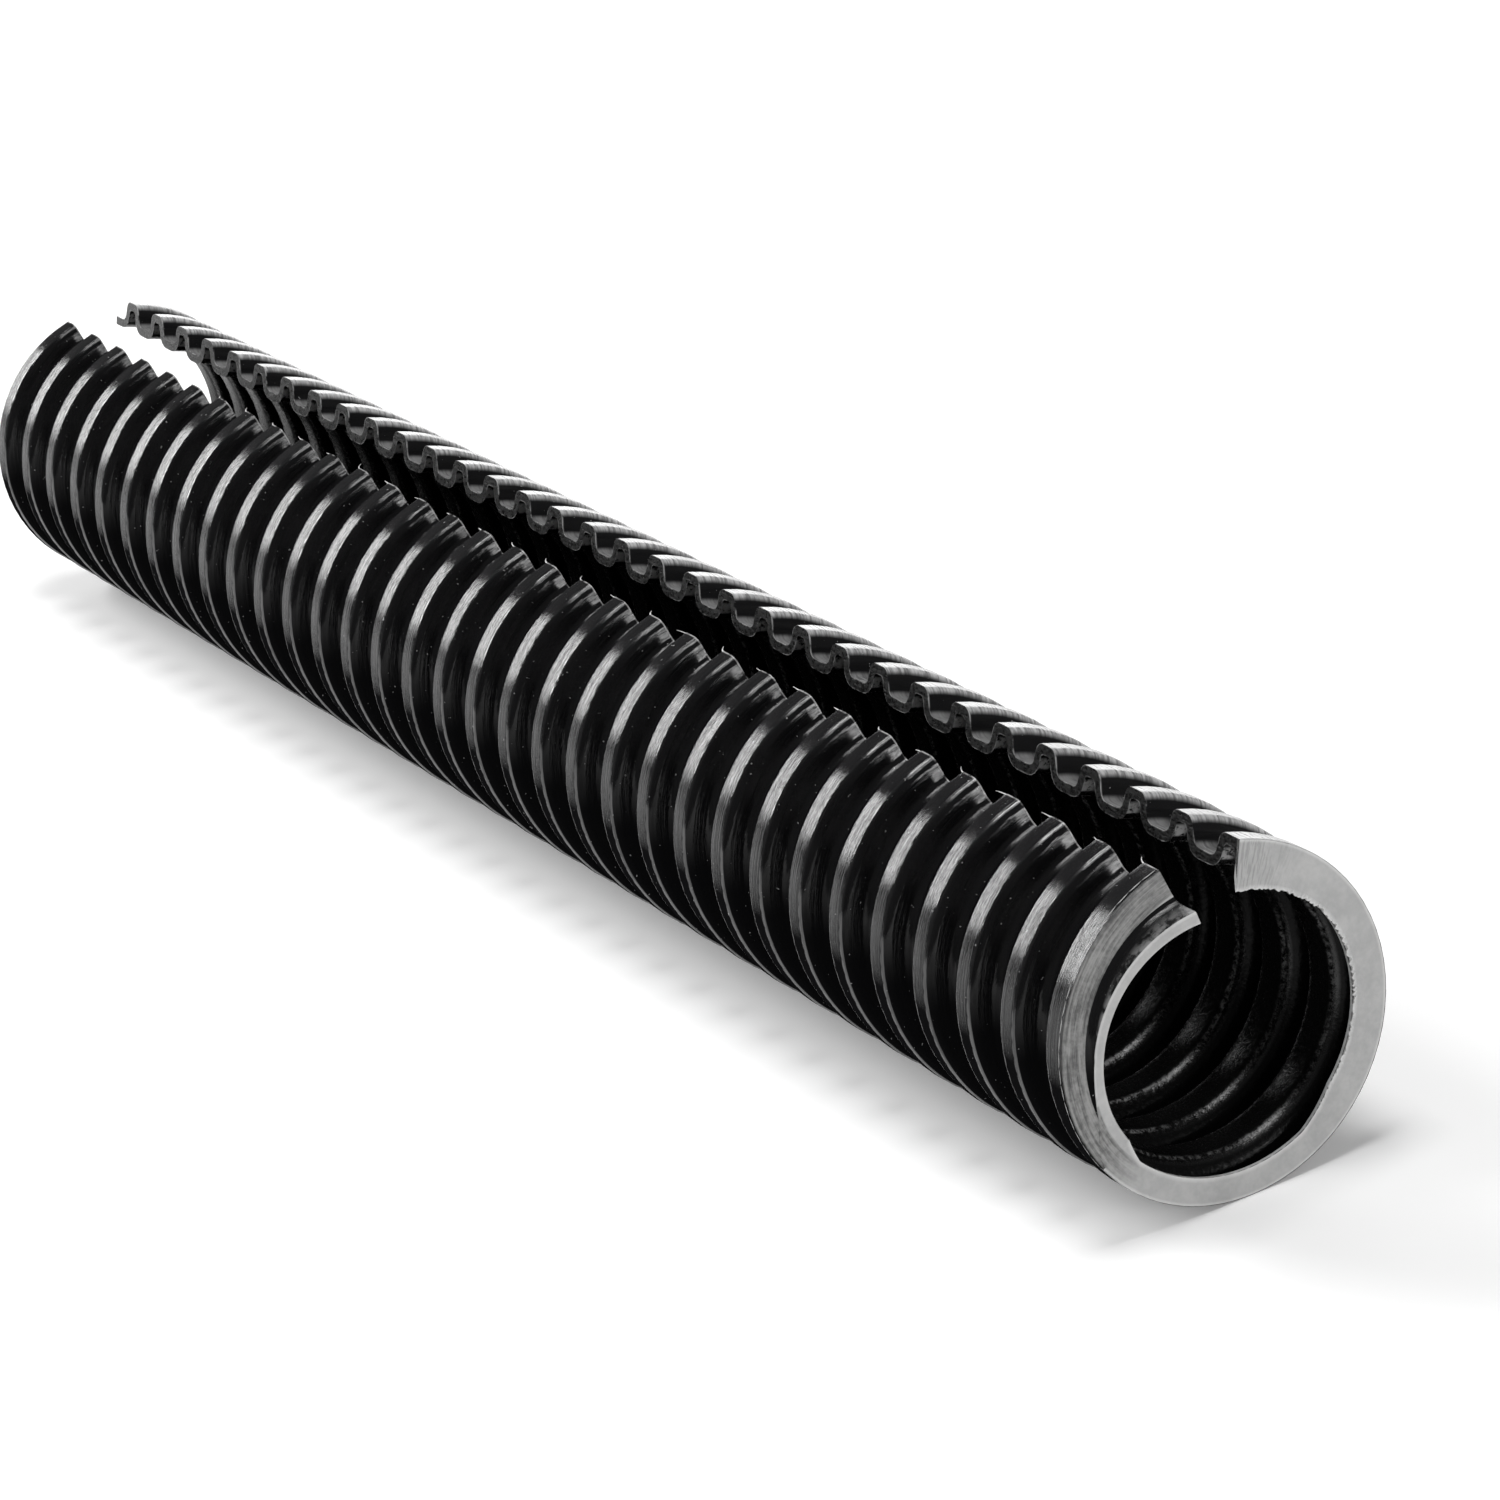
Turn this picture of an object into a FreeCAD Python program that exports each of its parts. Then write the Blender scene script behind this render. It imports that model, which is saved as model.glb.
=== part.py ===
import FreeCAD, Part
import os
import Sketcher

# One length of slit corrugated conduit: a thin-walled tube whose wall runs in
# hollow rings, open along its top so that cables can be laid in. Millimetres.
# The tube lies along X on the floor, with its origin under its middle, +Z up,
# the slot on top and the sawn end seen in the photo at +X.

doc = FreeCAD.newDocument("corrugated_conduit")

# Driving dimensions
SIZES = {
    "length": 500.0,         # along the axis, over all
    "crest_diameter": 64.5,  # outside, over the rings
    "bore_diameter": 51.0,   # clear way inside, between the valley floors
    "wall": 1.9,             # thickness of the wall everywhere on the wave
    "pitch": 15.0,           # from ring to ring
    "crest_width": 5.8,      # flat top of a ring, along the axis
    "flank_run": 1.3,        # how far a flank leans along the axis
    "slot_width": 16.0,      # opening along the top, from crest to crest
    "collar_reach": 7.5,     # how far the last valley stands out past its ring at the slot's left lip
    "collar_start": 238.0,   # where that collar begins, in degrees from the top, clockwise from +X
    "overcut": 1.0,          # how far a cutting profile passes the face that it opens
}
sheet = doc.addObject("Spreadsheet::Sheet", "sizes")
for row, (alias, value) in enumerate(SIZES.items(), start=1):
    sheet.set(f"A{row}", alias)
    sheet.set(f"B{row}", str(value))
    sheet.setAlias(f"B{row}", alias)
doc.recompute()

# Sizes that follow from the driving ones, as text for the expressions
CREST_R = "sizes.crest_diameter / 2"
BORE_R = "sizes.bore_diameter / 2"
VALLEY_R = "(sizes.bore_diameter / 2 + sizes.wall)"
LEAN = f"(sizes.flank_run / ({CREST_R} - {VALLEY_R}))"
AXIAL_WALL = f"(sizes.wall * sqrt(1 + {LEAN} * {LEAN}))"
HALF_SLOT_ANGLE = "asin(sizes.slot_width / sizes.crest_diameter)"

# The +X end is sawn flush with the crest of its last ring
TIP_X = "(sizes.length / 2)"
FACE_X = f"({TIP_X} - sizes.collar_reach)"
FIRST_RING_X = f"({FACE_X} - sizes.crest_width / 2)"
COLLAR_FOOT_Z = f"({CREST_R} * cos(sizes.collar_start * 1 deg))"
CUTS = "(ceil(sizes.length / sizes.pitch) + 2)"

# A line's two ends, and the origin and upright axis, as the sketcher counts them
START, END = range(1, 3)
ORIGIN = (-1, 1)
UPRIGHT_AXIS = -2

conduit = doc.addObject("PartDesign::Body", "conduit")
conduit.Label = "conduit"
doc.recompute()


def value_of(expression):
    """The expression's present value, so that a sketch is drawn near its solution."""
    value = sheet.evalExpression(expression.replace("sizes.", ""))
    return float(getattr(value, "Value", value))


def origin_feature(role):
    """The body's own origin plane or axis with this role."""
    return next(f for f in conduit.Origin.OriginFeatures if f.Role == role)


def new_sketch(name, role):
    sketch = conduit.newObject("Sketcher::SketchObject", name)
    sketch.AttachmentSupport = [(origin_feature(role), "")]
    sketch.MapMode = "FlatFace"
    return sketch


def add_polygon(sketch, corners):
    """Closed outline through the corners; each side starts at its own corner."""
    points = [FreeCAD.Vector(x, y, 0) for x, y in corners]
    sides = [
        sketch.addGeometry(Part.LineSegment(a, b))
        for a, b in zip(points, points[1:] + points[:1])
    ]
    for side, following in zip(sides, sides[1:] + sides[:1]):
        sketch.addConstraint(Sketcher.Constraint("Coincident", side, END, following, START))
    return sides


def fix_corner(sketch, side, direction, expression):
    """Tie a corner's distance from the sketch's origin along one direction to the sheet."""
    value = value_of(expression)
    first, second = (*ORIGIN, side, START), (side, START, *ORIGIN)
    order = first if value >= 0 else second
    index = sketch.addConstraint(Sketcher.Constraint(f"Distance{direction}", *order, abs(value)))
    sign = "" if value >= 0 else "-"
    sketch.setExpression(f"Constraints[{index}]", f"{sign}({expression})")


def revolve(kind, name, sketch, degrees):
    """Turn the sketch about the tube's axis, by half the angle each way."""
    feature = conduit.newObject(f"PartDesign::{kind}", name)
    feature.Profile = sketch
    feature.ReferenceAxis = (origin_feature("X_Axis"), [""])
    feature.Midplane = True
    feature.setExpression("Angle", degrees)
    sketch.Visibility = False
    return feature


def open_tube():
    """A plain tube from bore to crest, left open by the slot's angle at the top."""
    sketch = new_sketch("tube_section", "XZ_Plane")
    corners = [(x, f"-{r}") for x, r in (
        (f"-{TIP_X}", f"({CREST_R})"), (TIP_X, f"({CREST_R})"),
        (TIP_X, f"({BORE_R})"), (f"-{TIP_X}", f"({BORE_R})"),
    )]
    sides = add_polygon(sketch, [(value_of(x), value_of(z)) for x, z in corners])
    for side, (x, z) in zip(sides, corners):
        fix_corner(sketch, side, "X", x)
        fix_corner(sketch, side, "Y", z)
    revolve("Revolution", "tube", sketch, f"360 deg - 2 * {HALF_SLOT_ANGLE}")
    doc.recompute()


def wave_profile(name, middle, low, low_half, high, high_half):
    """A trapezoid under the axis, centred at `middle` along X, from radius low to high."""
    sketch = new_sketch(name, "XZ_Plane")
    sketch.setExpression("AttachmentOffset.Base.x", middle)
    z_low, x_low, z_high, x_high = (value_of(t) for t in (low, low_half, high, high_half))
    sides = add_polygon(sketch, [(-x_low, -z_low), (x_low, -z_low), (x_high, -z_high), (-x_high, -z_high)])
    floor, roof = sides[0], sides[2]
    for line, level, half in ((floor, low, low_half), (roof, high, high_half)):
        sketch.addConstraint(Sketcher.Constraint("Symmetric", line, START, line, END, UPRIGHT_AXIS))
        left, right = (START, END) if line == floor else (END, START)
        index = sketch.addConstraint(
            Sketcher.Constraint("DistanceX", line, left, line, right, 2 * value_of(half))
        )
        sketch.setExpression(f"Constraints[{index}]", f"2 * {half}")
        fix_corner(sketch, line, "Y", f"-{level}")
    return sketch


def cut_rings(name, profile):
    """Turn the profile round the tube as a cut that ends in the open slot, and repeat it along the tube."""
    cut = revolve("Groove", f"{name}_first", profile, f"360 deg - {HALF_SLOT_ANGLE}")
    pattern = conduit.newObject("PartDesign::LinearPattern", f"{name}_rings")
    pattern.Originals = [cut]
    pattern.Direction = (origin_feature("X_Axis"), [""])
    pattern.Reversed = True
    pattern.setExpression("Length", f"({CUTS} - 1) * sizes.pitch")
    pattern.setExpression("Occurrences", CUTS)
    conduit.Tip = pattern
    doc.recompute()


def half_ring(radius):
    """Half a ring's outer width at this radius, along the axis."""
    return f"(sizes.crest_width / 2 + {LEAN} * ({CREST_R} - {radius}))"


def half_hollow(radius):
    """Half the width of the hollow inside a ring at this radius."""
    return f"({half_ring(radius)} - {AXIAL_WALL})"


def half_groove(radius):
    """Half the width of the groove between two rings at this radius."""
    return f"(sizes.pitch / 2 - {half_ring(radius)})"


def saw(name, sketch, length=None):
    """Cut away what the sketch covers, towards +X by a length or right through."""
    cut = conduit.newObject("PartDesign::Pocket", name)
    cut.Profile = sketch
    if length:
        cut.Reversed = True
        cut.setExpression("Length", length)
    else:
        cut.Midplane = True
        cut.Type = "ThroughAll"
    sketch.Visibility = False
    doc.recompute()


def saw_square():
    """First pass: square across, over the slot's right side and below the collar's foot."""
    sketch = new_sketch("square_pass", "YZ_Plane")
    sketch.setExpression("AttachmentOffset.Base.z", FACE_X)
    reach = "sizes.crest_diameter"
    middle = "0"
    corners = [
        (middle, COLLAR_FOOT_Z), (middle, reach), (reach, reach),
        (reach, f"-{reach}"), (f"-{reach}", f"-{reach}"), (f"-{reach}", COLLAR_FOOT_Z),
    ]
    sides = add_polygon(sketch, [(value_of(y), value_of(z)) for y, z in corners])
    for side, (y, z) in zip(sides, corners):
        if y == middle:
            sketch.addConstraint(Sketcher.Constraint("PointOnObject", side, START, UPRIGHT_AXIS))
        else:
            fix_corner(sketch, side, "X", y)
        fix_corner(sketch, side, "Y", z)
    saw("square_cut", sketch, f"{TIP_X} - {FACE_X} + sizes.overcut")


def saw_slanted():
    """Second pass: a slant from the collar's foot up to its tip at the slot's left lip."""
    sketch = new_sketch("slanted_pass", "XZ_Plane")
    tip = f"({VALLEY_R} * cos({HALF_SLOT_ANGLE}))"
    beyond = f"({TIP_X} + sizes.overcut)"
    corners = [(FACE_X, COLLAR_FOOT_Z), (beyond, COLLAR_FOOT_Z), (beyond, tip), (TIP_X, tip)]
    sides = add_polygon(sketch, [(value_of(x), value_of(z)) for x, z in corners])
    for side, (x, z) in zip(sides, corners):
        fix_corner(sketch, side, "X", x)
        fix_corner(sketch, side, "Y", z)
    saw("slanted_cut", sketch)


open_tube()
hollow_low = f"({BORE_R} - sizes.overcut)"
hollow_high = f"({CREST_R} - sizes.wall)"
cut_rings("hollow", wave_profile(
    "hollow_profile", FIRST_RING_X,
    hollow_low, half_hollow(hollow_low),
    hollow_high, half_hollow(hollow_high),
))
groove_high = f"({CREST_R} + sizes.overcut)"
cut_rings("groove", wave_profile(
    "groove_profile", f"{FIRST_RING_X} + sizes.pitch / 2",
    VALLEY_R, half_groove(VALLEY_R),
    groove_high, half_groove(groove_high),
))
saw_square()
saw_slanted()

# The tube rests on the floor on its rings
conduit.Placement = FreeCAD.Placement()
conduit.setExpression("Placement.Base.z", CREST_R)
doc.recompute()

for item in doc.Objects:
    if {"Invalid", "Error"} & set(item.State):
        raise RuntimeError(f"{item.Name}: {item.State}")
shape = conduit.Shape
if shape.isNull() or not shape.isValid() or len(shape.Solids) != 1:
    raise RuntimeError("conduit: not one valid solid")

os.makedirs("parts", exist_ok=True)
shape.exportStep(f"parts/{conduit.Label}.step")
print("volume", round(shape.Volume), "faces", len(shape.Faces), shape.BoundBox)
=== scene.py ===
"""Looks of one length of slit corrugated conduit: a glossy black ringed tube with a pale sawn end."""

import math
import random

import bmesh
import bpy
import numpy as np
from mathutils import Matrix, Quaternion, Vector


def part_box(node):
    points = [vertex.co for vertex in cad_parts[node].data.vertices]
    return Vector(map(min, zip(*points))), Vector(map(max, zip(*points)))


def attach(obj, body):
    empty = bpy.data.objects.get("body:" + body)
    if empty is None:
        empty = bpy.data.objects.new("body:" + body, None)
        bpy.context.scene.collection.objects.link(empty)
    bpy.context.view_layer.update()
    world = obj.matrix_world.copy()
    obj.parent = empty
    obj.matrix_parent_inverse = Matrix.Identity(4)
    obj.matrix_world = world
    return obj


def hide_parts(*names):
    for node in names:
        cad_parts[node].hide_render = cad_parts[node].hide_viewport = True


MM = 0.001
random.seed(7)

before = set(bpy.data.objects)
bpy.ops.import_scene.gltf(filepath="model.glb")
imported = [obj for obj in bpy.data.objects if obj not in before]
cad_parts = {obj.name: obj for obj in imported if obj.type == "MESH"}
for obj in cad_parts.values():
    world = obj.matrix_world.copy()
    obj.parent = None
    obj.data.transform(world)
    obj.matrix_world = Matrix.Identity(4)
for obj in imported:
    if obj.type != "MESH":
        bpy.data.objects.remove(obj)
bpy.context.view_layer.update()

# The tube's length and outside come from the frame, and its section repeats the part's own sizes
low, high = (Vector(corner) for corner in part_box("conduit"))
CREST_R = (high.y - low.y) / 2
AXIS_Z = CREST_R
TIP_X = high.x
FAR_X = low.x
BORE_R = 25.5 * MM
WALL = 1.9 * MM
PITCH = 15.0 * MM
CREST_WIDTH = 5.8 * MM
FLANK_RUN = 1.3 * MM
SLOT_WIDTH = 16.0 * MM
COLLAR_REACH = 7.5 * MM
VALLEY_R = BORE_R + WALL
HOLLOW_R = CREST_R - WALL
LEAN = FLANK_RUN / (CREST_R - VALLEY_R)
FACE_X = TIP_X - COLLAR_REACH
FIRST_RING_X = FACE_X - CREST_WIDTH / 2
RINGS_BEHIND = math.ceil((FIRST_RING_X - FAR_X) / PITCH)

# Angles run from the top towards +Y, clockwise seen from +X
RIGHT_LIP = math.asin(SLOT_WIDTH / 2 / CREST_R)
LEFT_LIP = 2 * math.pi - RIGHT_LIP
COLLAR_START = math.radians(238)

# Moulded corners and cut edges
CREST_ROUND = 2.0 * MM
FOOT_ROUND = 1.9 * MM
HOLLOW_ROUND = 1.0 * MM
ARC_STEPS = 4
EDGE = 0.35 * MM
INSET = 0.02 * MM
UNDER_CREST = 0.005 * MM

# What the saw left at the +X end
FLAP = 2.5 * MM
BAND_LOSS = 1.7 * MM
DROOP_OUTSIDE = 1.3 * MM
DROOP_INSIDE = 1.9 * MM

# Rows of points round the tube
WALL_ROWS = 64
FACE_ROWS = 300
COLLAR_ROWS = 150


def rounded(corners, radii):
    """The polyline through the corners, with its inner corners turned into arcs of these radii."""
    points = [corners[0]]
    for before, corner, after, radius in zip(corners, corners[1:], corners[2:], radii):
        corner = Vector(corner)
        back = (Vector(before) - corner).normalized()
        ahead = (Vector(after) - corner).normalized()
        half = back.angle(ahead) / 2
        centre = corner + (back + ahead).normalized() * (radius / math.sin(half))
        start = corner + back * (radius / math.tan(half)) - centre
        end = corner + ahead * (radius / math.tan(half)) - centre
        sweep = start.angle(end)
        for step in range(ARC_STEPS + 1):
            share = step / ARC_STEPS
            mix = start * math.sin((1 - share) * sweep) + end * math.sin(share * sweep)
            points.append(tuple(centre + mix / math.sin(sweep)))
    points.append(corners[-1])
    return points


def outer_half_width(radius):
    """Half a ring's outer width at this radius, along the axis."""
    return CREST_WIDTH / 2 + LEAN * (CREST_R - radius)


def inner_half_width(radius):
    """Half the width of the hollow inside a ring at this radius."""
    return outer_half_width(radius) - WALL * math.hypot(1, LEAN)


def ring_profile(half_width, top, bottom, top_round, bottom_round):
    """One ring from valley to valley, as points (x, r) about the ring's middle."""
    corners = [
        (-PITCH / 2, bottom), (-half_width(bottom), bottom), (-half_width(top), top),
        (half_width(top), top), (half_width(bottom), bottom), (PITCH / 2, bottom),
    ]
    return rounded(corners, (bottom_round, top_round, top_round, bottom_round))


def long_profile(ring, ending):
    """The rings from the far end to the middle of the last crest, then the last ring's sawn half."""
    points = []
    for k in range(RINGS_BEHIND, 0, -1):
        middle = FIRST_RING_X - k * PITCH
        points += [(middle + x, r) for x, r in ring[:-1]]
    half = [(x, r) for x, r in ring if x < 0]
    points += [(FIRST_RING_X + x, r) for x, r in half] + ending
    kept = [(x, r) for x, r in points if x > FAR_X]
    end_r = float(np.interp(FAR_X, [x for x, r in points], [r for x, r in points]))
    return [(FAR_X, end_r)] + kept


def angles_between(start, end, rows):
    """Rows of angles, with a narrow one along each cut edge."""
    edge = EDGE / CREST_R
    inner = np.linspace(start + edge, end - edge, rows - 1)
    return np.concatenate([[start], inner, [end]])


def ramp(value, start, end):
    """How far the value is on its way from start to end, as a share from 0 to 1."""
    return min(1.0, max(0.0, (value - start) / (end - start)))


def band_floor(angle):
    """Inner radius of the sawn band, which the cut left narrower along the bottom."""
    turn = math.degrees(angle)
    return BORE_R + BAND_LOSS * min(ramp(turn, 135, 155), ramp(turn, 238, 228))


class Skin:
    """Vertices, faces, one material number for each face and one wear value for each vertex."""

    def __init__(self):
        self.verts, self.faces, self.slots, self.wear = [], [], [], []

    def add(self, points, wear):
        first = len(self.verts)
        self.verts += points
        self.wear += wear
        return first

    def grid(self, rows, wears, slots, flip=False):
        """Quads over rows of points; slots holds one material number for each column of quads."""
        width = len(rows[0])
        starts = [self.add(row, wear) for row, wear in zip(rows, wears)]
        for a, b in zip(starts, starts[1:]):
            for k in range(width - 1):
                quad = (a + k, b + k, b + k + 1, a + k + 1)
                self.faces.append(quad[::-1] if flip else quad)
                self.slots.append(slots[k])

    def cap(self, points, wear, flip):
        """One flat face over a closed row of points."""
        first = self.add(points, [wear] * len(points))
        face = tuple(range(first, first + len(points)))
        self.faces.append(face[::-1] if flip else face)
        self.slots.append(0)

    def make(self, name, materials, smooth=True):
        data = bpy.data.meshes.new(name)
        data.from_pydata(self.verts, [], self.faces)
        for material in materials:
            data.materials.append(material)
        data.polygons.foreach_set("material_index", self.slots)
        data.polygons.foreach_set("use_smooth", [smooth] * len(self.faces))
        data.attributes.new("wear", "FLOAT", "POINT").data.foreach_set("value", self.wear)
        # Points that fell together leave no faces without area
        merged = bmesh.new()
        merged.from_mesh(data)
        bmesh.ops.dissolve_degenerate(merged, dist=0.001 * MM, edges=merged.edges)
        merged.to_mesh(data)
        merged.free()
        piece = bpy.data.objects.new(name, data)
        bpy.context.scene.collection.objects.link(piece)
        return piece


def place(x, radius, angle):
    return (x, radius * math.sin(angle), AXIS_Z + radius * math.cos(angle))


def swept(skin, profile, angles, slot, flip, worn_ends=True):
    """Turn a profile of (x, r) points about the axis. Its sawn end keeps outside the band's floor."""
    rows = []
    for angle in angles:
        least = band_floor(angle)
        rows.append([place(x, max(r, least) if x > FIRST_RING_X else r, angle) for x, r in profile])
    edge_rows = {0, len(angles) - 1} if worn_ends else set()
    wears = [[1.0 if k in edge_rows else 0.0] * len(profile) for k in range(len(angles))]
    skin.grid(rows, wears, [slot] * (len(profile) - 1), flip)


def lip(skin, outer, inner, angle, slot, flip):
    """A cut face of the slot: from the outer profile across the wall to the inner one."""
    rows = []
    for share in (0.0, 0.1, 0.9, 1.0):
        rows.append([
            place(xo + (xi - xo) * share, ro + (ri - ro) * share, angle)
            for (xo, ro), (xi, ri) in zip(outer, inner)
        ])
    wears = [[wear] * len(outer) for wear in (1.0, 0.0, 0.0, 1.0)]
    skin.grid(rows, wears, [slot] * (len(outer) - 1), flip)


def wave_wall(outside, inside, cut, sawn):
    """The ringed wall from the square far end up to the crest of the last ring."""
    outer_ring = ring_profile(outer_half_width, CREST_R - INSET, VALLEY_R, CREST_ROUND, FOOT_ROUND)
    inner_ring = ring_profile(inner_half_width, HOLLOW_R, BORE_R, HOLLOW_ROUND, FOOT_ROUND + WALL)
    roof, foot = inner_half_width(HOLLOW_R), inner_half_width(BORE_R)
    inner_end = [
        (FIRST_RING_X, HOLLOW_R), (FIRST_RING_X + roof, HOLLOW_R),
        (FIRST_RING_X + foot, BORE_R), (FACE_X - INSET, BORE_R),
    ]
    crest = CREST_WIDTH / 2 - INSET
    outer_end = [(FIRST_RING_X + crest * share, CREST_R - INSET) for share in (0, 0.3, 0.6, 1)]
    outer = long_profile(outer_ring, outer_end)
    inner = long_profile(inner_ring, inner_end)
    # Both profiles keep one count of points, so that the lips can join them
    extra = len(outer) - len(inner)
    if extra > 0:
        inner = [inner[0]] * extra + inner
    else:
        outer = [outer[0]] * -extra + outer
    angles = angles_between(RIGHT_LIP, LEFT_LIP, WALL_ROWS)
    skin = Skin()
    swept(skin, outer, angles, 0, False)
    swept(skin, inner, angles, 1, True, worn_ends=False)
    lip(skin, outer, inner, RIGHT_LIP, 2, False)
    lip(skin, outer, inner, LEFT_LIP, 2, True)
    far_ring = [[place(FAR_X, r, angle) for r in (inner[0][1], outer[0][1])] for angle in angles]
    skin.grid(far_ring, [[0.0, 0.0]] * len(far_ring), [3], True)
    wall = skin.make("wave_wall", [outside, inside, cut, sawn])
    normals = wall.modifiers.new("flat_crests", "WEIGHTED_NORMAL")
    normals.keep_sharp = True
    normals.weight = 80
    return wall


def sawn_face(sawn):
    """The last ring's flat sawn face, with a torn edge along the bore on the slot's right side."""
    skin = Skin()
    rim_r = CREST_R - UNDER_CREST
    back_x = FACE_X - 0.8 * MM
    rows, wears = [], []
    for k in range(FACE_ROWS + 1):
        angle = RIGHT_LIP + (COLLAR_START - RIGHT_LIP) * k / FACE_ROWS
        turn = math.degrees(angle)
        torn = max(0.0, 1 - abs(turn - 75) / 75) ** 0.5
        tear = torn * random.uniform(-0.25, 0.55) * MM
        burr = torn * random.uniform(0.0, 0.35) * MM
        # A torn flap hangs into the bore beside the slot's right lip
        floor_r = band_floor(angle)
        inner_r = floor_r - FLAP * ramp(turn, 62, 14)
        stations = [
            (back_x, floor_r - INSET), (FACE_X - 0.15 * MM, inner_r - INSET + tear / 2),
            (FACE_X + burr, inner_r + tear), (FACE_X, inner_r + 0.9 * MM),
            (FACE_X, CREST_R - 0.7 * MM), (FACE_X, CREST_R - 0.2 * MM), (FACE_X - 0.2 * MM, rim_r),
        ]
        rows.append([place(x, r, angle) for x, r in stations])
        wears.append([0.3, 0.6, 1.0, 0.0, 0.0, 1.0, 1.0])
    skin.grid(rows, wears, [0] * (len(rows[0]) - 1))
    skin.cap(rows[0] + [place(back_x, rim_r, RIGHT_LIP)], 0.5, False)
    skin.cap(rows[-1] + [place(back_x, rim_r, COLLAR_START)], 0.5, True)
    return skin.make("sawn_face", [sawn], smooth=False)


def rim_x(angle):
    """Where the slanted saw cut ends the collar."""
    share = (angle - COLLAR_START) / (LEFT_LIP - COLLAR_START)
    return FACE_X + COLLAR_REACH * share - INSET


def drooped(x, r, angle):
    """The radius after the thin valley has drooped towards the slot's left lip, most of all inside."""
    droop = DROOP_INSIDE + (DROOP_OUTSIDE - DROOP_INSIDE) * ramp(r, BORE_R, VALLEY_R)
    toward_lip = ramp(math.degrees(angle), 285, 346) ** 2
    return r - droop * toward_lip * ramp(x, FACE_X, FACE_X + FLANK_RUN)


def collar(plastic, sawn):
    """The last ring's scuffed flank and, before it, what the slanted cut left of the next valley."""
    corners = [
        (FACE_X - CREST_WIDTH / 2, CREST_R - INSET), (FACE_X, CREST_R - INSET),
        (FACE_X + FLANK_RUN, VALLEY_R), (TIP_X, VALLEY_R),
    ]
    profile = rounded(corners, (CREST_ROUND * 0.5, FOOT_ROUND))[1:]
    xs, rs = zip(*profile)
    skin = Skin()
    rows, wears = [], []
    for k in range(COLLAR_ROWS + 1):
        angle = COLLAR_START + (LEFT_LIP - COLLAR_START) * k / COLLAR_ROWS
        end = rim_x(angle)
        rim_r = float(np.interp(end, xs, rs))
        ragged = random.uniform(-0.08, 0.08) * MM
        body = [(min(x, end), float(np.interp(min(x, end), xs, rs))) for x in xs[:-1]]
        rim = [
            (end - 0.15 * MM, rim_r), (end, rim_r - 0.2 * MM + ragged), (end, rim_r - 0.5 * MM),
            (end, BORE_R + 0.6 * MM), (end, BORE_R + 0.2 * MM),
            (end - 0.2 * MM, BORE_R - INSET), (FACE_X - 0.5 * MM, BORE_R - INSET),
        ]
        rows.append([place(x, drooped(x, r, angle), angle) for x, r in body + rim])
        # Only the thin valley's rim is whitened along its outer edge
        edge = 0.6 if rim_r < VALLEY_R + 0.5 * MM else 0.0
        wears.append([0.6] + [0.0] * (len(body) - 1) + [edge, edge, 0.0, 0.0, 0.3, 0.6, 0.0])
    # The flank and the rim are sawn or scuffed, and the valley between them is moulded
    flank = ARC_STEPS + 2
    skin.grid(rows, wears, [1] * flank + [0] * (len(body) - flank) + [1, 1, 1, 1, 1, 0])
    skin.cap(rows[-1], 0.4, True)
    piece = skin.make("collar", [plastic, sawn])
    piece.data.set_sharp_from_angle(angle=math.radians(35))
    return piece


def burrs(sawn):
    """Short curls of torn plastic at the far corner of each ring on the slot's left lip."""
    skin = Skin()
    steps = 8
    taper = 0.7
    for k in range(RINGS_BEHIND):
        corner_x = FIRST_RING_X - k * PITCH - CREST_WIDTH / 2
        point = Vector(place(corner_x + 1.6 * MM, CREST_R - 0.45 * MM, LEFT_LIP))
        length = random.uniform(2.4, 4.4) * MM
        curl = random.uniform(-0.3, 0.9)
        thick = random.uniform(0.14, 0.24) * MM
        rows = []
        for step in range(steps + 1):
            share = step / steps
            turn = 0.05 + curl * share
            half = thick * (1 - taper * share)
            ahead = Vector((-math.cos(turn), math.sin(turn), 0))
            side = Vector((ahead.y, -ahead.x, 0)) * half
            lift = Vector((0, 0, half))
            rows.append([tuple(point + v) for v in (side, lift, -side, -lift, side)])
            point = point + ahead * (length / steps)
        skin.grid(rows, [[1.0] * 5] * len(rows), [0] * 4)
    return skin.make("burrs", [sawn])


def grey(level, blue=None):
    """A neutral colour, with its blue a little apart where one is given."""
    return (level, level, level if blue is None else blue, 1.0)


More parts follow.
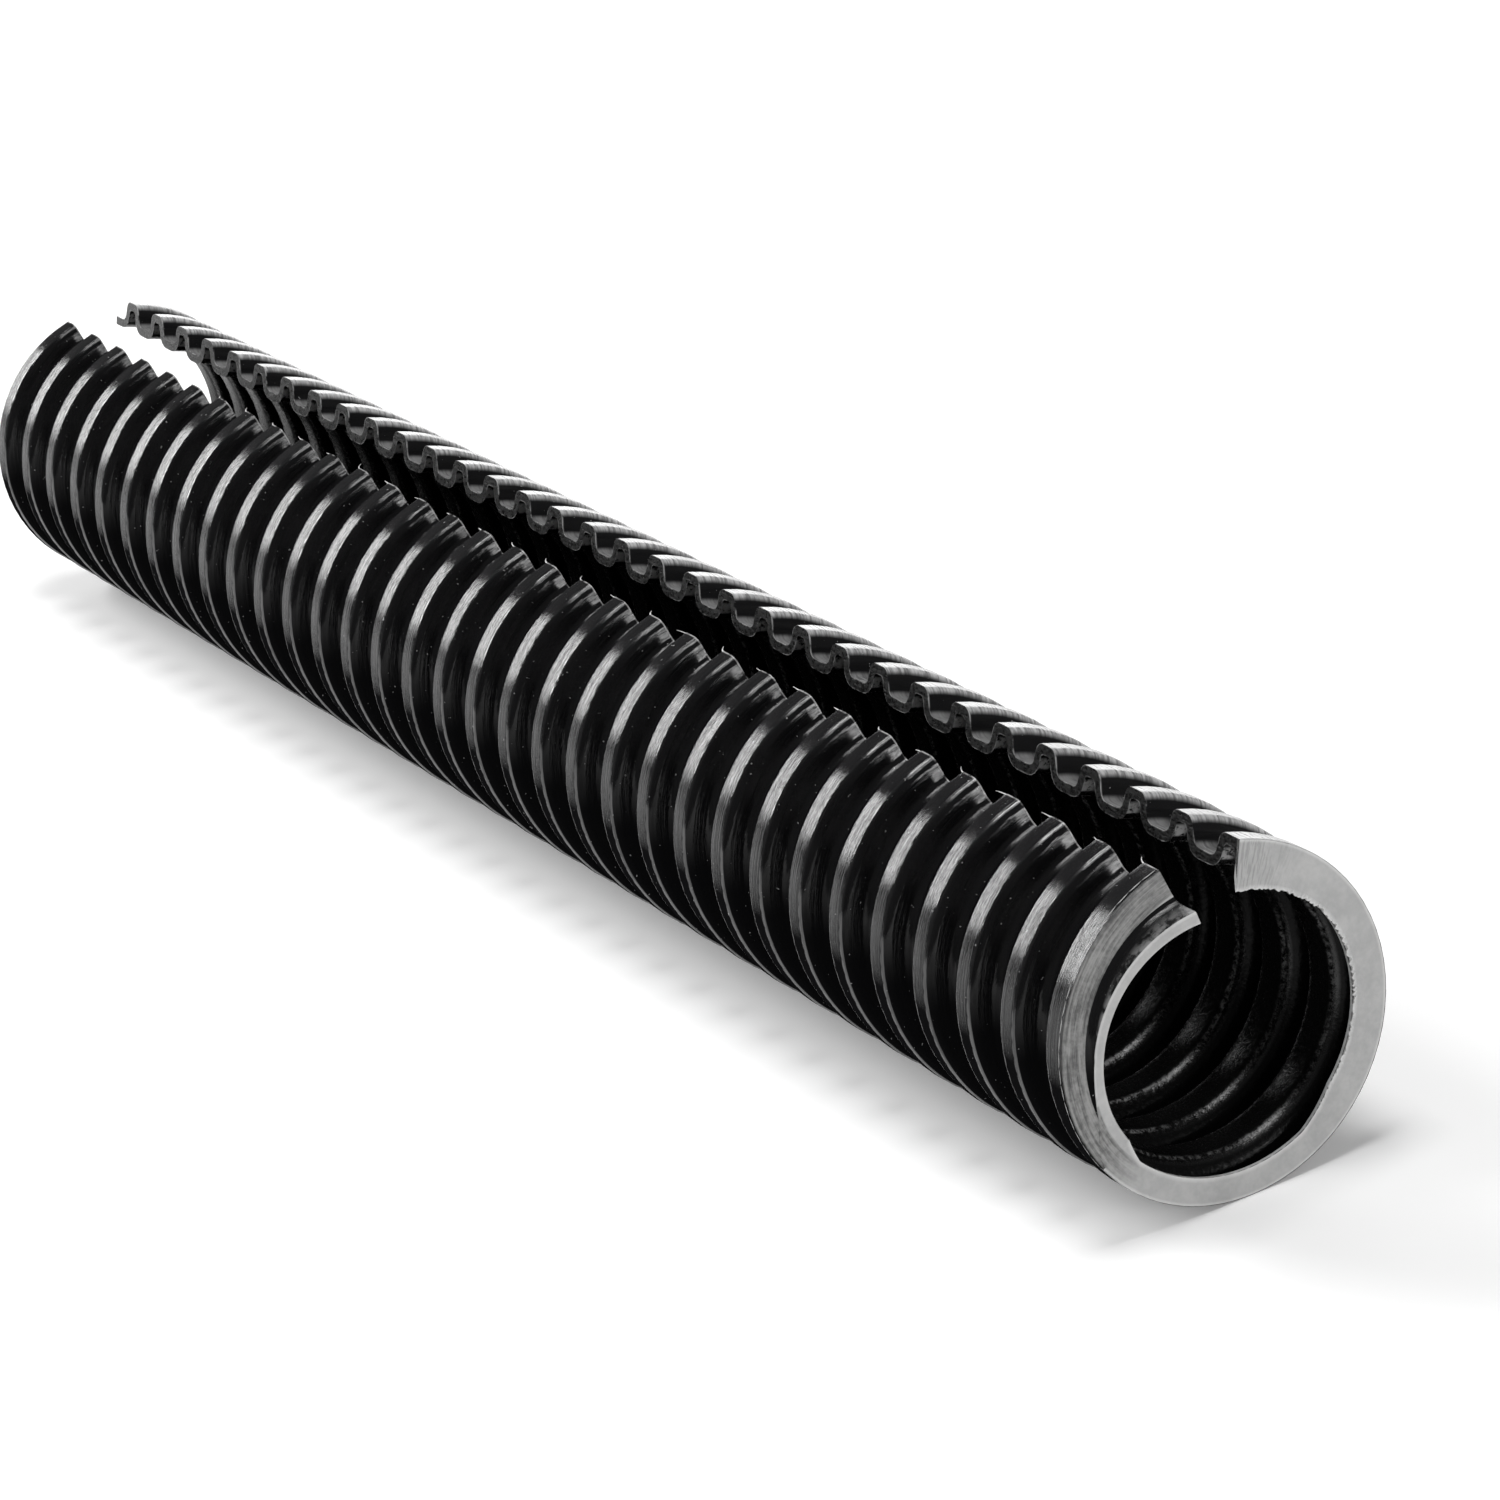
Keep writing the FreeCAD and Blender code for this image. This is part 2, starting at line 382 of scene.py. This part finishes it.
class Nodes:
    """Short forms for building a material's node tree."""

    def __init__(self, name):
        self.material = bpy.data.materials.new(name)
        self.material.use_nodes = True
        self.nodes = self.material.node_tree.nodes
        self.links = self.material.node_tree.links
        self.shader = self.nodes["Principled BSDF"]

    def put(self, socket, value):
        if isinstance(value, bpy.types.NodeSocket):
            self.links.new(value, socket)
        else:
            socket.default_value = value

    def set(self, name, value):
        """One of the shader's own inputs."""
        self.put(self.shader.inputs[name], value)

    def math(self, operation, first, second=0.0, clamp=False):
        node = self.nodes.new("ShaderNodeMath")
        node.operation = operation
        node.use_clamp = clamp
        self.put(node.inputs[0], first)
        self.put(node.inputs[1], second)
        return node.outputs[0]

    def times(self, first, second):
        return self.math("MULTIPLY", first, second)

    def plus(self, first, second, clamp=False):
        return self.math("ADD", first, second, clamp)

    def larger(self, first, second):
        return self.math("MAXIMUM", first, second)

    def span(self, value, start, end, low_value=0.0, high_value=1.0):
        """Map a value from start..end to low_value..high_value, smoothly and clamped."""
        node = self.nodes.new("ShaderNodeMapRange")
        node.interpolation_type = "SMOOTHSTEP"
        for socket, item in zip(node.inputs, (value, start, end, low_value, high_value)):
            self.put(socket, item)
        return node.outputs[0]

    def vector(self, x, y, z=0.0):
        node = self.nodes.new("ShaderNodeCombineXYZ")
        for socket, item in zip(node.inputs, (x, y, z)):
            self.put(socket, item)
        return node.outputs[0]

    def noise(self, vector, scale, detail=3.0, roughness=0.5):
        node = self.nodes.new("ShaderNodeTexNoise")
        self.put(node.inputs["Vector"], vector)
        self.put(node.inputs["Scale"], scale)
        self.put(node.inputs["Detail"], detail)
        self.put(node.inputs["Roughness"], roughness)
        return node.outputs[0]

    def mix(self, factor, first, second):
        node = self.nodes.new("ShaderNodeMix")
        node.data_type = "RGBA"
        self.put(node.inputs["Factor"], factor)
        self.put(node.inputs["A"], first)
        self.put(node.inputs["B"], second)
        return node.outputs["Result"]

    def bump(self, height, strength):
        node = self.nodes.new("ShaderNodeBump")
        self.put(node.inputs["Height"], height)
        self.put(node.inputs["Strength"], strength)
        self.put(node.inputs["Distance"], 0.2 * MM)
        self.set("Normal", node.outputs["Normal"])

    def wear(self):
        node = self.nodes.new("ShaderNodeAttribute")
        node.attribute_name = "wear"
        return node.outputs["Fac"]

    def tube_coordinates(self):
        """The point, its place along the axis and its radius in mm, and its angle from the top."""
        point = self.nodes.new("ShaderNodeTexCoord").outputs["Object"]
        split = self.nodes.new("ShaderNodeSeparateXYZ")
        self.links.new(point, split.inputs[0])
        along = self.times(split.outputs[0], 1 / MM)
        across = self.times(split.outputs[1], 1 / MM)
        up = self.math("SUBTRACT", self.times(split.outputs[2], 1 / MM), AXIS_Z / MM)
        squares = self.plus(self.times(across, across), self.times(up, up))
        radius = self.math("SQRT", squares)
        angle = self.math("ARCTAN2", across, up)
        return point, along, radius, angle


def outside_plastic():
    """Moulded black, dusty, with fine lines round the tube, whitened along the cut edges, and a painted
    sheen on the crests and grooves beside the slot's right lip.
    """
    n = Nodes("conduit_plastic")
    point, along, radius, angle = n.tube_coordinates()
    cloud = n.noise(point, 60.0, 4.0)
    across_rings = n.plus(along, n.times(radius, 0.7))
    lines = n.noise(n.vector(n.times(across_rings, 2.6), n.times(angle, 2.0)), 1.0, 4.0, 0.65)
    specks = n.span(n.noise(point, 1500.0, 1.0), 0.76, 0.80)
    # Beside the slot's right lip the crests and the grooves carry a painted pale sheen, in strokes across
    # them
    strokes = n.noise(n.vector(n.times(angle, 55.0), n.times(along, 0.25)), 1.0, 3.0)
    beside_slot = n.times(n.span(angle, 0.2, 0.27), n.span(angle, 1.0, 0.7))
    on_crest = n.span(radius, 30.9, 32.0)
    crest_sheen = n.times(on_crest, n.span(strokes, 0.3, 0.7, 0.35, 1.0))
    on_floor = n.times(n.span(radius, 28.4, 27.6), n.span(angle, 0.5, 0.3))
    floor_sheen = n.times(on_floor, n.span(strokes, 0.2, 0.6, 0.2, 0.45))
    # The painted sheen on crests and valley floors beside the slot
    streaked = n.times(beside_slot, n.larger(crest_sheen, floor_sheen))
    white_edge = n.times(n.wear(), n.span(n.noise(point, 420.0, 3.0, 0.6), 0.38, 0.6))
    # The pale mix carries the painted sheen, the whitened cut edges and the dust specks
    pale = n.larger(streaked, n.times(white_edge, 0.9))
    pale = n.larger(pale, n.times(specks, 0.5))
    n.set("Base Color", n.mix(pale, grey(0.006, 0.0065), grey(0.55)))
    spread = n.span(cloud, 0.3, 0.75, 0.07, 0.16)
    n.set("Roughness", n.plus(spread, n.times(pale, 0.3), clamp=True))
    # The underside is duller, and the corners of each crest keep their gloss all round
    plain_gloss = n.span(angle, -1.6, -1.1, 0.0, 0.32)
    corners = n.times(n.span(radius, 32.18, 32.12), n.span(radius, 31.85, 31.97))
    gloss = n.larger(plain_gloss, n.times(corners, 0.9))
    n.set("Specular IOR Level", n.times(gloss, n.span(lines, 0.35, 0.6, 0.6, 1.15)))
    n.bump(n.plus(n.times(lines, 1.5), cloud), n.span(angle, 0.1, 0.3, 0.45, 0.08))
    return n.material


def inside_plastic():
    """The unlit inside: black, grainy, with a painted highlight line along each inner corner and painted
    highlight spots by the slot's right lip.
    """
    n = Nodes("inside_plastic")
    point, along, radius, angle = n.tube_coordinates()
    grain = n.noise(point, 1100.0, 3.0, 0.7)
    patches = n.noise(point, 90.0, 2.0)
    # A painted highlight: a thin pale line along each inner corner, broken up by grain and patches
    corner = n.times(n.span(radius, 25.6, 25.75), n.span(radius, 26.15, 26.0))
    corner_highlight = n.times(corner, n.span(grain, 0.4, 0.62))
    corner_highlight = n.times(corner_highlight, n.span(patches, 0.35, 0.65, 0.1, 0.6))
    # Painted highlight spots just inside the slot's right lip
    near_lip = n.times(n.span(angle, 0.2, 0.25), n.span(angle, 0.36, 0.3))
    on_flank = n.times(n.span(radius, 27.0, 27.5), n.span(radius, 29.8, 29.0))
    lip_glint = n.times(n.times(near_lip, on_flank), n.span(grain, 0.35, 0.5))
    # Both the corner line and the spots are painted highlights in the base colour
    pale = n.larger(n.times(corner_highlight, 0.5), lip_glint)
    n.set("Base Color", n.mix(pale, grey(0.004), grey(0.5)))
    n.set("Roughness", n.span(grain, 0.3, 0.7, 0.14, 0.32))
    # The inner corners shine most
    glossy = n.times(n.span(radius, 25.6, 25.9, 0.1, 1.0), n.span(radius, 27.0, 26.3, 0.2, 1.0))
    n.set("Specular IOR Level", n.times(glossy, 0.5))
    n.bump(grain, 0.5)
    return n.material


def cut_plastic():
    """The slot's cut faces: satin black with layered strokes along the tube and a whitened edge."""
    n = Nodes("cut_plastic")
    point, along, radius, angle = n.tube_coordinates()
    layers = n.noise(n.vector(n.times(radius, 2.6), n.times(along, 0.35)), 1.0, 4.0, 0.6)
    grain = n.noise(point, 1300.0, 3.0, 0.6)
    tone = n.span(n.plus(n.times(layers, 0.75), n.times(grain, 0.25)), 0.42, 0.7)
    body = n.mix(tone, grey(0.004), grey(0.032))
    edge = n.times(n.wear(), n.span(n.noise(point, 420.0, 3.0, 0.6), 0.42, 0.66))
    n.set("Base Color", n.mix(n.times(edge, 0.75), body, grey(0.5)))
    n.set("Roughness", n.span(grain, 0.3, 0.7, 0.22, 0.4))
    n.set("Specular IOR Level", 0.2)
    n.bump(n.plus(layers, n.times(grain, 0.4)), 0.5)
    return n.material


def sawn_plastic():
    """Pale where the saw cut clean, scuffed grey on the slot's left side, brighter along cut edges."""
    n = Nodes("sawn_plastic")
    point, along, radius, angle = n.tube_coordinates()
    cloud = n.noise(point, 220.0, 5.0, 0.6)
    mottle = n.noise(point, 900.0, 3.0, 0.6)
    # Comb-like saw marks beside the slot's right lip
    comb = n.noise(n.vector(n.times(angle, 70.0), n.times(radius, 0.25)), 1.0, 2.0)
    beside_lip = n.times(n.span(angle, 0.75, 0.3), n.span(angle, 0.0, 0.1))
    marks = n.times(beside_lip, n.span(comb, 0.45, 0.6))
    tone = n.span(n.plus(n.times(cloud, 0.6), n.times(mottle, 0.4)), 0.3, 0.7)
    pale = n.mix(tone, grey(0.37), grey(0.47, 0.465))
    pale = n.mix(n.times(marks, 0.35), pale, grey(0.14))
    # Streaks that run round the tube
    around = n.vector(n.times(radius, 1.8), n.times(angle, 3.0), along)
    streaks = n.noise(around, 1.0, 5.0, 0.65)
    streaked = n.span(n.plus(n.times(streaks, 0.7), n.times(mottle, 0.3)), 0.34, 0.64)
    dark = n.mix(streaked, grey(0.06), grey(0.30, 0.295))
    # Scuffed from the face's lower left up to the slot's left lip, outside the pale rim
    left_side = n.times(n.span(angle, -2.5, -2.0), n.span(angle, 0.1, 0.0))
    scuffed = n.times(left_side, n.span(radius, 27.3, 27.7))
    body = n.mix(scuffed, pale, dark)
    # The far end's ring is plain and duller
    body = n.mix(n.span(along, -245.0, -249.0), body, grey(0.15))
    edge = n.times(n.wear(), n.span(cloud, 0.2, 0.6, 0.5, 0.95))
    n.set("Base Color", n.mix(edge, body, grey(0.66, 0.655)))
    n.set("Roughness", n.span(mottle, 0.3, 0.7, 0.4, 0.65))
    height = n.plus(mottle, n.times(marks, -0.7))
    n.bump(n.plus(height, n.times(streaks, scuffed)), 0.5)
    return n.material


def build_conduit():
    outside, sawn = outside_plastic(), sawn_plastic()
    wall = wave_wall(outside, inside_plastic(), cut_plastic(), sawn)
    pieces = [wall, sawn_face(sawn), collar(outside, sawn), burrs(sawn)]
    for piece in pieces:
        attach(piece, "root")
        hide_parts("conduit")


def stage():
    n = Nodes("pale_floor")
    grain = n.noise(n.nodes.new("ShaderNodeTexCoord").outputs["Object"], 30.0)
    n.set("Base Color", n.mix(grain, grey(0.93), grey(0.95)))
    n.set("Roughness", 0.9)
    n.set("Specular IOR Level", 0.1)
    # The floor shows white to the camera and in reflections, and keeps its shadows
    path = n.nodes.new("ShaderNodeLightPath").outputs
    seen = n.plus(path["Is Camera Ray"], path["Is Glossy Ray"])
    seen = n.plus(seen, path["Is Transmission Ray"], clamp=True)
    n.set("Emission Color", grey(1.0))
    n.set("Emission Strength", n.times(seen, 0.15))
    reach = 8.0
    rows = [[(-reach, y, 0), (reach, y, 0)] for y in (-reach, reach)]
    skin = Skin()
    skin.grid(rows, [[0.0, 0.0]] * 2, [0], flip=True)
    skin.make("floor", [n.material], smooth=False)

    world = bpy.data.worlds.new("studio")
    bpy.context.scene.world = world
    world.use_nodes = True
    background = world.node_tree.nodes["Background"]
    background.inputs["Color"].default_value = grey(1.0)
    background.inputs["Strength"].default_value = 0.15


def softbox(name, toward, distance, size, radiance, roll=0.0):
    """A square lamp in this direction from the tube, facing it, that glows evenly at this radiance."""
    data = bpy.data.lights.new(name, "AREA")
    data.shape = "SQUARE"
    data.size = size
    data.energy = radiance * math.pi * size**2
    light = bpy.data.objects.new(name, data)
    aim = Vector((0, 0, AXIS_Z))
    light.location = aim + Vector(toward).normalized() * distance
    facing = (aim - light.location).to_track_quat("-Z", "Y")
    light.rotation_euler = (facing @ Quaternion((0, 0, 1), math.radians(roll))).to_euler()
    bpy.context.scene.collection.objects.link(light)


def camera():
    """The photo's camera, from a fit of the rings and the slot's lips. Its distance is in outer radii."""
    away = Vector((24.59, -13.708, 12.913)) * CREST_R
    right = Vector((0.46972, 0.86660, -0.16845))
    down = Vector((0.24842, -0.31285, -0.91674))
    forward = Vector((-0.84714, 0.38876, -0.36224))
    ahead_of_face = 1.9 * MM
    near_end = Vector((FACE_X + ahead_of_face, 0, AXIS_Z))
    data = bpy.data.cameras.new("camera")
    data.sensor_width = 36
    data.lens = 142.44
    data.clip_end = 50
    view = bpy.data.objects.new("camera", data)
    turn = Matrix((right, -down, -forward)).transposed()
    view.matrix_world = Matrix.Translation(near_end + away) @ turn.to_4x4()
    bpy.context.scene.collection.objects.link(view)
    bpy.context.scene.camera = view


build_conduit()
stage()
softbox("far_left", toward=(-0.82, -0.40, 0.40), distance=3.0, size=1.4, radiance=16.0, roll=45)
softbox("far_right", toward=(-0.84, 0.56, 0.14), distance=3.0, size=1.8, radiance=3.5)
softbox("overhead", toward=(0.1, 0.0, 1.0), distance=2.2, size=0.9, radiance=11.0)
softbox("front", toward=(0.96, 0.25, 0.17), distance=2.5, size=0.65, radiance=14.0)
camera()

scene = bpy.context.scene
scene.view_settings.view_transform = "Standard"
